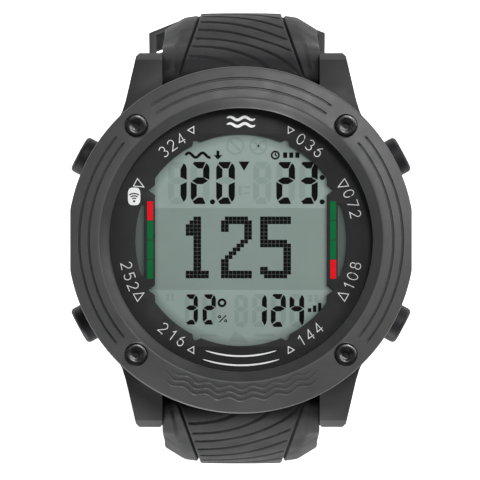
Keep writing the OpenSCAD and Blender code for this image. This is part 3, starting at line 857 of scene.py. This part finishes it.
def colour_bars():
    """Two bar graphs of four cells each: red on top at the left, at the bottom on the right."""
    cell = 2 * BAR_HALF / 4
    red, green = Art(MASK_TOP, 0.02), Art(MASK_TOP, 0.02)
    for left, right, red_row in ((-13.8, -12.95, 3), (13.15, 14.0, 0)):
        for row in range(4):
            bottom = -BAR_HALF + row * cell + 0.05
            top = bottom + cell - 0.1
            art = red if row == red_row else green
            art.block(left, right, bottom, top)
    piece("bars_red", red.mesh("red"), INK_RED, "case")
    piece("bars_green", green.mesh("green"), INK_GREEN, "case")


# ---- LCD content

LCD_TOP = high("lcd_panel").z
# The seven strokes of a digit in its unit box: top, upper right, lower right, bottom, lower
# left, upper left, middle
STROKES = (
    ((0.11, 0.955), (0.18, 1.0), (0.79, 1.0), (0.645, 0.845), (0.38, 0.845)),
    ((0.665, 0.828), (0.835, 0.97), (0.94, 0.93), (1.0, 0.85), (1.0, 0.575), (0.665, 0.64)),
    ((0.665, 0.455), (1.0, 0.525), (1.0, 0.2), (0.95, 0.11), (0.835, 0.045), (0.665, 0.19)),
    ((0.1, 0.065), (0.39, 0.155), (0.645, 0.155), (0.79, 0.01), (0.72, 0.0), (0.2, 0.0)),
    ((0.0, 0.525), (0.32, 0.455), (0.32, 0.19), (0.07, 0.085), (0.0, 0.16)),
    ((0.0, 0.575), (0.33, 0.64), (0.33, 0.828), (0.08, 0.935), (0.0, 0.86)),
    ((0.06, 0.55), (0.34, 0.632), (0.66, 0.632), (0.94, 0.55), (0.64, 0.472), (0.34, 0.472)),
)
LIT = {"0": (0, 1, 2, 3, 4, 5), "1": (1, 2), "2": (0, 1, 6, 4, 3), "3": (0, 1, 6, 2, 3),
       "4": (5, 6, 1, 2), " ": ()}
# Digits: character, left, right, bottom, top
DIGITS = (
    ("1", -10.72, -8.0, 5.3, 11.5), ("2", -7.4, -4.65, 5.3, 11.5), ("0", -3.65, -0.9, 5.3, 11.5),
    (" ", 1.8, 4.45, 5.3, 11.5), ("2", 5.2, 7.95, 5.3, 11.5), ("3", 8.6, 11.3, 5.3, 11.5),
    ("3", -8.25, -6.35, -12.45, -8.0), ("2", -5.65, -3.7, -12.45, -8.0),
    (" ", -0.95, 1.0, -12.75, -8.1), ("1", 1.65, 3.8, -12.8, -7.95),
    ("2", 4.4, 6.6, -12.8, -7.95), ("4", 7.15, 9.3, -12.8, -7.95),
)
DOTS = ((-4.2, 5.62), (11.95, 9.2), (11.95, 5.62))
MATRIX_PITCH = 0.57
MATRIX_FILL = 0.955      # share of the pitch that a lit pixel covers
MATRIX_BOTTOM = -5.64
# Dot-matrix digits 1, 2 and 5: left edge, then blocks of lit pixels as their first and last column
# and first and last row, counted from the digit's lower left corner
MATRIX = (
    (-8.14, ((2, 3, 2, 15), (1, 1, 11, 14), (0, 0, 11, 13), (0, 5, 0, 1))),
    (-2.94, ((1, 6, 15, 15), (0, 7, 14, 14), (0, 1, 12, 13), (6, 7, 10, 13), (5, 6, 9, 9), (4, 5, 8, 8),
             (3, 4, 7, 7), (2, 3, 6, 6), (1, 2, 5, 5), (0, 1, 2, 4), (0, 7, 0, 1))),
    (2.82, ((0, 7, 14, 15), (0, 1, 10, 13), (0, 6, 9, 9), (0, 7, 8, 8), (6, 7, 2, 7), (0, 1, 2, 2),
            (0, 7, 1, 1), (1, 6, 0, 0))),
)


def digit(lit, ghost, character, left, right, bottom, top):
    for number, stroke in enumerate(STROKES):
        art = lit if number in LIT[character] else ghost
        art.shape([(left + (right - left) * u, bottom + (top - bottom) * v) for u, v in stroke])


def lcd_content():
    lit, ghost = Art(LCD_TOP, 0.02), Art(LCD_TOP, 0.008)
    for row in DIGITS:
        digit(lit, ghost, *row)
    for x, y in DOTS:
        lit.shape(circle(x, y, 0.37))
    for left, blocks in MATRIX:
        for block in blocks:
            matrix_block(lit, left, *block)
    lcd_signs(lit)
    piece("lcd_segments", lit.mesh("lit"), INK_BLACK, "case", smooth=20)
    ghost_marks(ghost)
    piece("lcd_ghosts", ghost.mesh("ghosts"), INK_GHOST, "case", smooth=20)


def lcd_signs(art):
    """Plain signs beside the digits: wave and arrow, clock, triangle, ring, per cent, level bars."""
    wave = [(-8.2 + 0.1 * i, 12.5 + 0.34 * math.sin(0.31 * i)) for i in range(38)]
    art.stroke(wave, 0.4)
    art.stroke([(-3.4, 13.15), (-3.4, 12.4)], 0.42)
    art.shape([(-4.05, 12.5), (-2.75, 12.5), (-3.4, 11.85)])
    art.stroke(circle(5.05, 12.5, 0.54), 0.24, closed=True)
    art.stroke([(5.05, 12.86), (5.05, 12.5), (5.3, 12.38)], 0.18)
    for left in (6.2, 7.1, 8.0):
        art.block(left, left + 0.6, 12.1, 12.9)
    art.shape([(-0.35, 11.55), (1.25, 11.55), (0.45, 10.2)])
    art.stroke(circle(-2.8, -9.25, 0.48), 0.34, closed=True)
    art.stroke([(-2.2, -11.1), (-3.2, -12.1)], 0.16)
    for x, y in ((-3.15, -11.3), (-2.25, -11.9)):
        art.stroke(circle(x, y, 0.16), 0.14, closed=True)
    for step, left in enumerate((9.85, 10.6, 11.35)):
        art.block(left, left + 0.5, -10.6, -10.05 + 0.4 * step)


def matrix_block(art, left, first_column, last_column, first_row, last_row):
    """Block of square pixels with hairline gaps between them."""
    size = MATRIX_PITCH * MATRIX_FILL
    for row in range(first_row, last_row + 1):
        y = MATRIX_BOTTOM + row * MATRIX_PITCH
        for column in range(first_column, last_column + 1):
            x = left + column * MATRIX_PITCH
            art.block(x, x + size, y, y + size)


def ghost_marks(art):
    """Unlit symbols: two round icons at the top, small blocks and shapes at the bottom."""
    for x in (-0.85, 2.55):
        art.stroke(circle(x, 13.85, 1.2, 32), 0.3, closed=True)
        art.stroke([(x - 0.7, 14.55), (x + 0.7, 13.15)], 0.3)
    art.stroke([(1.75, 13.3), (2.2, 13.3), (2.9, 14.4), (3.35, 14.4)], 0.25)
    for block in ((-0.35, 0.1, 6.6, 8.0), (0.4, 1.3, 6.8, 7.0), (0.4, 1.3, 7.7, 7.9),
                  (9.9, 10.5, -9.1, -8.1), (10.8, 11.4, -9.1, -8.1), (-11.0, -10.6, -9.0, -7.9),
                  (-10.2, -9.9, -9.0, -7.9), (-6.0, -3.6, -14.2, -13.9), (2.0, 4.9, -14.2, -13.8),
                  (2.0, 4.9, -14.9, -14.7)):
        art.block(*block)
    art.shape([(-1.9, -15.0), (-0.9, -13.4), (0.4, -14.3), (1.2, -15.1)])


def matrix_band():
    """Middle area of the LCD, slightly darker than the rest: a fine mesh of unlit pixels."""
    art = Art(LCD_TOP - 0.004, 0.008)
    art.block(-13.2, 13.2, -7.35, 4.7)
    piece("lcd_matrix", art.mesh("band"), INK_BAND, "case")


# ---- buttons

BUTTON_TURNS = {"2": 28.2, "10": 151.8, "8": 208.2, "4": -28.2}
BUTTON_Z = (low("button_2").z + high("button_2").z) / 2
BUTTON_R = (high("button_2").z - low("button_2").z) / 2
BUTTON_REACH = 27.2
BUTTON_SEAT = 23.4
STEM_R, STEM_GROOVE_R = 1.1, 0.75
CAP_ROUND = 0.62         # rounding of the cap's edge


def button_profile():
    """(radius, distance along the axis): stem with its two grooves, then the rounded cap."""
    points = [(0, 16.9), (STEM_R - 0.1, 16.9), (STEM_R, 17.0)]
    for groove_r, start, end in ((STEM_GROOVE_R - 0.05, 18.15, 18.6), (STEM_GROOVE_R, 20.2, 20.7)):
        points += [(STEM_R, start), (groove_r, start), (groove_r, end), (STEM_R, end)]
    points += [(STEM_R, BUTTON_SEAT), (BUTTON_R - 0.1, BUTTON_SEAT), (BUTTON_R, BUTTON_SEAT + 0.1)]
    middle_r, middle_s = BUTTON_R - CAP_ROUND, BUTTON_REACH - CAP_ROUND - 0.05
    points += arc(middle_r, middle_s, CAP_ROUND, range(0, 91, 15))
    points += [(BUTTON_R * s, BUTTON_REACH - 0.05 * s * s) for s in (0.6, 0.4, 0.2)] + [(0, BUTTON_REACH)]
    return points


def buttons():
    solid = turned(button_profile(), 96, "button")
    for name, turn in BUTTON_TURNS.items():
        onto_axis = shift(0, 0, BUTTON_Z) @ spin(turn, "Z") @ spin(90, "Y")
        piece(f"push_cap_{name}", moved(solid, onto_axis), LOOKS["button"], f"push_{name}",
              (f"button_{name}",), 30)


# ---- strap

STRAP_T = 4.0
STRAP_HALF = high("strap_short").x
BAR = joint_spot("strap_12_swing")
PIN = joint_spot("buckle_swing")
SHORT_CENTRE = joint_spot("keeper_slide")
BULGE_Y = high("strap_short").y - STRAP_T / 2
BULGE_Z = SHORT_CENTRE.z
SHORT_R = BULGE_Y - SHORT_CENTRE.y
BEND_R = ((BULGE_Y - BAR.y) ** 2 + (BAR.z - BULGE_Z) ** 2) / (2 * (BULGE_Y - BAR.y))
BEND_ANGLE = math.degrees(math.asin((BAR.z - BULGE_Z) / BEND_R))
HEAD_R = 2.6             # rounded end around the spring bar
HEAD_WIDER = 0.295       # the strap nearly fills the gap between the lugs
SHORT_RISE = 0.5         # the half with the buckle is a little fuller where it bends
BAR_BORE, PIN_BORE = 0.98, 0.85
TIP_R = 1.0              # rounding of the free end
EYE_R = 2.0              # rounded end around the buckle's pin
LONG_R, LONG_ANGLE = 120.0, 22.4
CURL_R, TAIL, TIP_IN = 22.0, 4.5, 6.0
LUG_ARC = 10.0           # this far up the bend, the chamfered edge starts to turn square
HOLES = [20.0 + 6.0 * i for i in range(7)]     # distances below the bulge
PANEL_NARROW, PANEL_WIDE = 6.2, 9.5
PANEL_Y = 23.4           # where the panel is widest
SWOOSH_START = 8.5       # height of the first curved groove above the bulge
SWOOSH_RISE, SWOOSH_SPREAD = 6.8, 1.1            # how far they climb to the right and fan out
SWOOSH_HALF, SWOOSH_DEPTH = 0.36, 0.34
SWOOSH_STEP = 2.9        # spacing of the curved grooves at the panel's left edge
FINE, COARSE = 0.13, 0.7 # the distances between cross-sections
ROUND_STEPS = 14         # cross-sections in a half-round end
PANEL_COLUMNS = 96


class Station:
    """One cross-section of a strap half: middle point, outward direction and sizes."""

    def __init__(self, y, z, angle, half_t, half_w, below):
        self.y, self.z, self.angle = y, z, math.radians(angle)
        self.half_t, self.half_w, self.below = half_t, half_w, below

    def at(self, x, height):
        return (x, self.y + height * math.cos(self.angle), self.z + height * math.sin(self.angle))


def smooth_step(share):
    share = min(1.0, max(0.0, share))
    return share * share * (3 - 2 * share)


def bend_and_head():
    """Stations from the round head at the spring bar down to just past the bulge."""
    stations = []
    turn = math.radians(BEND_ANGLE)
    length = BEND_R * turn
    for i in range(28):
        phi = math.radians(89.0 * (1 - i / 28))
        along = HEAD_R * math.sin(phi)
        stations.append(Station(BAR.y - along * math.sin(turn), BAR.z + along * math.cos(turn),
                                BEND_ANGLE, HEAD_R * math.cos(phi), STRAP_HALF + HEAD_WIDER,
                                -length - along))
    steps = int(length / FINE)
    for i in range(steps):
        angle = BEND_ANGLE * (1 - i / steps)
        a = math.radians(angle)
        swell = (HEAD_R - STRAP_T / 2) * (1 - smooth_step(i * FINE / 6))
        stations.append(Station(BULGE_Y - BEND_R + BEND_R * math.cos(a), BULGE_Z + BEND_R * math.sin(a),
                                angle, STRAP_T / 2 + swell,
                                STRAP_HALF + HEAD_WIDER * (1 - smooth_step((i * FINE - 7) / 6)),
                                -BEND_R * a))
    return stations


def stretches(parts):
    """Stations along stretches, each a radius or None and a length, that run down from the bulge."""
    stations = []
    y, z, angle, below = BULGE_Y, BULGE_Z, 0.0, 0.0
    for radius, length in parts:
        steps = max(2, round(length / (FINE * 2 if below < 6 else COARSE)))
        for _ in range(steps):
            stations.append(Station(y, z, angle, STRAP_T / 2, STRAP_HALF, below))
            step = length / steps
            swing = math.degrees(step / radius) if radius else 0.0
            a = math.radians(angle - swing / 2)
            y += step * math.sin(a)
            z -= step * math.cos(a)
            angle -= swing
            below += step
    return stations, (y, z, angle, below)


def round_end(stations, end, radius):
    """Closes the band with a half-round end."""
    y, z, angle, below = end
    a = math.radians(angle)
    for i in range(ROUND_STEPS):
        phi = math.radians(89.0 * i / (ROUND_STEPS - 1))
        along = radius * math.sin(phi)
        stations.append(Station(y + along * math.sin(a), z - along * math.cos(a), angle,
                                radius * math.cos(phi), STRAP_HALF, below + along))


def panel_half(station):
    """Half width of the middle panel: it narrows from the case to the bulge."""
    outer_y = station.at(0, station.half_t)[1]
    share = (outer_y - PANEL_Y) / (BULGE_Y + STRAP_T / 2 - PANEL_Y)
    if station.below > 0:
        share = 1.0
    return PANEL_WIDE + (PANEL_NARROW - PANEL_WIDE) * min(1.0, max(-0.2, share))


def swoosh_depth(station, x, panel):
    """Depth of the curved grooves at a point of the panel."""
    up = -station.below * (BEND_R + STRAP_T / 2) / BEND_R
    curve = ((x + panel) / (2 * panel)) ** 2.2
    inside = smooth_step((panel - 0.35 - abs(x)) / 0.5)
    row = round((up - SWOOSH_START - SWOOSH_RISE * curve) / (SWOOSH_STEP + SWOOSH_SPREAD * curve))
    depth = 0.0
    for k in range(max(-5, row - 1), row + 2):
        middle = SWOOSH_START + SWOOSH_STEP * k + (SWOOSH_RISE + SWOOSH_SPREAD * k) * curve
        depth = max(depth, SWOOSH_DEPTH * (1 - ((up - middle) / SWOOSH_HALF) ** 2))
    fade = smooth_step((24.5 - up) / 2) * smooth_step((up + 9) / 4)
    return depth * inside * fade


def section_ring(station):
    """Points around one cross-section, from the lower left edge over the outer side."""
    sloped = 1 - 0.8 * smooth_step((-station.below - LUG_ARC) / 6)
    half_w, top, panel = station.half_w, station.half_t, panel_half(station)
    scale = min(1.0, top / (STRAP_T / 2))
    seam = 0.55 * smooth_step((16 - station.below) / 5)
    mid = panel + 0.42 * (half_w - panel)
    # across the left edge: how far each point lies below the outer face
    fall = [(-half_w, 0.35 + 2.3 * sloped), (-half_w + 0.05, 0.2 + 2.25 * sloped),
            (-half_w + 0.22, 0.1 + 2.14 * sloped), (-mid - 0.5, 0.1 + 0.76 * sloped), (-mid, 0.6),
            (-mid + 0.4, 0.5), (-panel - 0.34, 0.3), (-panel - 0.24, 0.34 + 0.12 * seam),
            (-panel - 0.07, 0.25 + seam), (-panel + 0.07, 0.25 + seam), (-panel + 0.22, 0.16 * seam),
            (-panel + 0.34, 0.02)]
    left = [(x, top - down * scale) for x, down in fall]
    ring = [station.at(x, h) for x, h in left]
    inner = panel - 0.42
    for i in range(PANEL_COLUMNS + 1):
        x = -inner + 2 * inner * i / PANEL_COLUMNS
        crown = 0.1 * (1 - (x / panel) ** 2) * scale
        depth = swoosh_depth(station, x, panel) if station.below < 10 else 0.0
        ring.append(station.at(x, top + crown - depth * scale))
    ring += [station.at(-x, h) for x, h in reversed(left)]
    rib = inner_relief(station) * scale
    low_side = [(half_w, 0.55 * scale - top), (half_w - 0.16, 0.16 * scale - top), (half_w - 0.55, -top),
                (8.2, -top), (7.6, rib * 0.5 - top), (7.2, rib - top), (3.6, rib - top), (0.0, rib - top)]
    ring += [station.at(x, h) for x, h in low_side]
    ring += [station.at(-x, h) for x, h in reversed(low_side[:-1])]
    return ring


def inner_relief(station):
    """Shallow cross ribs on the side that lies on the wrist."""
    if station.below < 2 or station.below > 60:
        return 0.0
    ends = smooth_step((station.below - 2) / 2) * smooth_step((60 - station.below) / 2)
    return ends * 0.3 * smooth_step(1.6 * abs(math.sin(math.pi * station.below / 3.2)) - 0.3)


def narrow_tip(stations, start):
    """Rounds the long half's end in plan."""
    last = stations[-1].below
    for station in stations:
        if station.below > start:
            share = min(1.0, (station.below - start) / (last - start))
            station.half_w -= TIP_IN * (1 - math.sqrt(1 - share * share * 0.999))


def cylinder_x(y, z, r):
    """Cutter along X, longer than the strap is wide."""
    return grid_mesh([[(x, *spot) for spot in circle(y, z, r, 48)] for x in (-20, 20)], False, "bore")


def short_half():
    pin_drop = math.sqrt((PIN.y - SHORT_CENTRE.y) ** 2 + (PIN.z - BULGE_Z) ** 2 - SHORT_R ** 2)
    to_pin = math.atan2(BULGE_Z - PIN.z, PIN.y - SHORT_CENTRE.y)
    short_angle = to_pin - math.atan(pin_drop / SHORT_R)
    lower, end = stretches([(SHORT_R, SHORT_R * short_angle), (None, pin_drop)])
    stations = bend_and_head() + lower
    for station in stations:
        rise = SHORT_RISE * smooth_step((13 - abs(station.below)) / 8)
        station.y += rise / 2 * math.cos(station.angle)
        station.z += rise / 2 * math.sin(station.angle)
        station.half_t += rise / 2
    round_end(stations, end, EYE_R)
    mesh = grid_mesh([section_ring(s) for s in stations], False, "strap_short")
    slot = softened_box((-1.75, 1.75), (-5, 5), (-6, 3.3))
    slot = moved(slot, shift(0, PIN.y, PIN.z) @ Matrix.Rotation(-short_angle, 4, "X"))
    for cutter in (cylinder_x(BAR.y, BAR.z, BAR_BORE), cylinder_x(PIN.y, PIN.z, PIN_BORE), slot):
        mesh = cut(mesh, cutter)
    piece("strap_buckle_side", mesh, LOOKS["strap"], "short_half", ("strap_short",), 40)


def softened_box(across, deep, tall):
    """Box cutter along Y whose upper corners are rounded off."""
    (x0, x1), (z0, z1) = across, tall
    outline = [(x0, z0), (x1, z0), (x1, z1 - 0.9), (x1 - 0.3, z1 - 0.3), (x1 - 0.9, z1),
               (x0 + 0.9, z1), (x0 + 0.3, z1 - 0.3), (x0, z1 - 0.9)]
    return grid_mesh([[(x, y, z) for x, z in outline] for y in deep], False, "slot")


def hole_cutter():
    """Adjustment hole along Y with chamfered mouths."""
    profile = [(0, -4), (1.95, -4), (1.95, -2.25), (1.3, -1.75), (1.3, 1.65), (2.0, 2.35), (2.0, 4), (0, 4)]
    return moved(turned(profile, 40, "hole"), spin(-90, "X"))


def long_half():
    slack = LONG_R * math.radians(LONG_ANGLE)
    curl = CURL_R * math.radians(90 - LONG_ANGLE)
    lower, end = stretches([(LONG_R, slack), (CURL_R, curl), (None, TAIL - TIP_R)])
    stations = bend_and_head() + lower
    round_end(stations, end, TIP_R)
    for station in stations[-ROUND_STEPS:]:
        station.half_t += (STRAP_T / 2 - TIP_R) * math.sqrt(station.half_t / TIP_R)
    narrow_tip(stations, end[3] - 4.0)
    mesh = grid_mesh([section_ring(s) for s in stations], False, "strap_long")
    holes = []
    for along in HOLES:
        near = min(stations, key=lambda s: abs(s.below - along))
        turn = Matrix.Rotation(near.angle, 4, "X")
        holes.append(moved(hole_cutter(), shift(0, near.y, near.z) @ turn))
    for cutter in (cylinder_x(BAR.y, BAR.z, BAR_BORE), joined(holes)):
        mesh = cut(mesh, cutter)
    mesh.transform(Matrix.Diagonal((1, -1, 1, 1)))
    mesh.flip_normals()
    piece("strap_hole_side", tidy(mesh), LOOKS["strap"], "long_half", ("strap_long",), 40)


# ---- build

for made in frame["nodes"].values():
    slot_name = made.data.materials[0].name if made.data.materials else ""
    if slot_name in LOOKS:
        made.data.materials[0] = LOOKS[slot_name]

camera()
studio()
studio_floor()
bezel()
screws()
dial_ring()
ring_print()
colour_bars()
matrix_band()
lcd_content()
buttons()
short_half()
long_half()
replace_softened("case_body", "case", "case", 0.35)
# The keepers use the lightened copy of the strap's rubber: painted light against their shade
replace_softened("keeper_loose", "sliding_keeper", "strap", 0.35, BRIGHTENED_KEEPER_LOOK)
replace_softened("keeper_fixed", "short_half", "strap", 0.35, BRIGHTENED_KEEPER_LOOK)
replace_softened("buckle_frame", "buckle", "buckle", 0.35)
replace_softened("buckle_tongue", "tongue", "buckle", 0.3)
replace_softened("battery_cap", "battery_door", "cap", 0.12)
replace_softened("case_back", "case", "case_back", 0.1)
